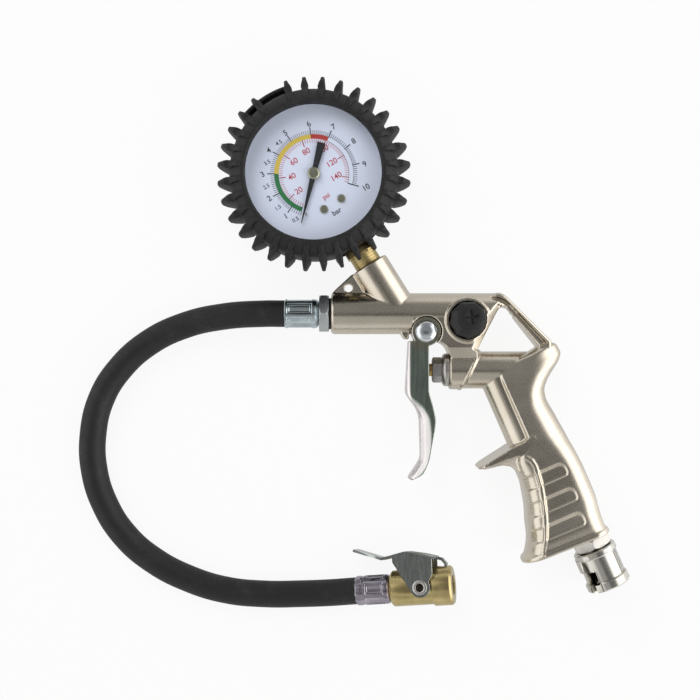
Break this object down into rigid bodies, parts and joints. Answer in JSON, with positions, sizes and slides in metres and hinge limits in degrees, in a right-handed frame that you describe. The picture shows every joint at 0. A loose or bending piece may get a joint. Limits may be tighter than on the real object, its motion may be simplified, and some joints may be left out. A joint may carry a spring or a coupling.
{
  "type": "tyre inflator gun",
  "caption": "Tyre inflator gun with a cast grip and trigger valve, a dial gauge in a finned rubber boot, a bleed button, and a short hose with a clip-on chuck.",
  "frame": {"origin": "centre of the gauge boot's flat back, on the surface the tool lies on", "axes": "+Z out of the gauge's face, +X along the barrel away from the hose, +Y from the barrel to the gauge"},
  "size_m": [0.263, 0.2503, 0.0385],
  "materials": {
    "nickel": "satin nickel plate over a die casting",
    "trigger_steel": "bright plated sheet",
    "zinc": "zinc plated",
    "steel": "plain, slightly dull",
    "brass": "turned, satin",
    "rubber": "matt black, moulded",
    "hose_rubber": "satin black",
    "black_plastic": "moulded, matt",
    "black_paint": "satin black",
    "dial": "printed, matt",
    "lens": "clear"
  },
  "bodies": {
    "gun": {"gun_body": "nickel", "trigger_screw": "zinc", "trigger_nut": "zinc", "gland_nut": "zinc", "valve_gland": "zinc", "valve_seat": "brass", "valve_spring": "steel", "bleed_seal": "rubber", "bleed_spring": "steel", "gauge_boot": "rubber", "gauge_case": "steel", "gauge_bezel": "black_paint", "gauge_lens": "lens", "lens_gasket": "rubber", "gauge_dial": "dial", "dial_screws": "brass", "pointer_stop": "steel", "movement_plates": "brass", "bourdon_tube": "brass", "gauge_socket": "brass", "hose_fitting": "zinc", "fitting_washer": "rubber", "gun_ferrule": "zinc", "hose": "hose_rubber", "chuck_ferrule": "zinc", "chuck_body": "brass", "chuck_rivet": "zinc", "clip_spring": "steel", "chuck_seal": "rubber", "chuck_pin": "brass", "inlet_adapter": "nickel", "coupler_body": "nickel", "coupler_seal": "rubber"},
    "trigger": {"trigger": "trigger_steel"},
    "valve": {"valve_stem": "brass", "valve_poppet": "brass", "valve_seal": "rubber"},
    "bleed": {"bleed_button": "black_plastic", "bleed_stem": "brass"},
    "sector": {"sector_gear": "brass"},
    "link": {"movement_link": "steel"},
    "pointer": {"pinion_arbor": "brass", "gauge_pointer": "black_paint", "pointer_hub": "brass"},
    "clip": {"chuck_clip": "steel"}
  },
  "joints": [
    {"name": "trigger_pivot", "type": "hinge", "parent": "gun", "child": "trigger", "pos_m": [0.0526, -0.0728, 0.014], "axis": [0, 0, 1], "range_deg": [0, 10], "stiffness_Nm_per_rad": 0.6, "springref_deg": -8.59},
    {"name": "valve_slide", "type": "slide", "parent": "gun", "child": "valve", "axis": [1, 0, 0], "range_m": [0, 0.0035], "deforming": ["valve_spring"]},
    {"name": "bleed_press", "type": "slide", "parent": "gun", "child": "bleed", "axis": [0, 0, -1], "range_m": [0, 0.0025], "stiffness_N_per_m": 800, "springref_m": -0.002, "deforming": ["bleed_spring"]},
    {"name": "sector_swing", "type": "hinge", "parent": "gun", "child": "sector", "pos_m": [-0.00954, 0.01526, 0.0226], "axis": [0, 0, 1], "range_deg": [0, 34], "stiffness_Nm_per_rad": 0.002},
    {"name": "pointer_turn", "type": "hinge", "parent": "gun", "child": "pointer", "pos_m": [0, 0, 0.0292], "axis": [0, 0, 1], "range_deg": [-272, 0]},
    {"name": "link_slide", "type": "slide", "parent": "gun", "child": "link", "axis": [0.9703, 0.2419, 0], "range_m": [0, 0.0041]},
    {"name": "clip_turn", "type": "hinge", "parent": "gun", "child": "clip", "pos_m": [0.05132, -0.19351, 0.01639], "axis": [-0.2218, 0.1513, 0.9633], "range_deg": [0, 12], "stiffness_Nm_per_rad": 0.3, "springref_deg": -5.73, "deforming": ["clip_spring"]}
  ],
  "couplings": [
    {"joint": "valve_slide", "follows": "trigger_pivot", "m_per_rad": 0.018},
    {"joint": "pointer_turn", "follows": "sector_swing", "ratio": -8},
    {"joint": "link_slide", "follows": "sector_swing", "m_per_rad": 0.0069}
  ]
}
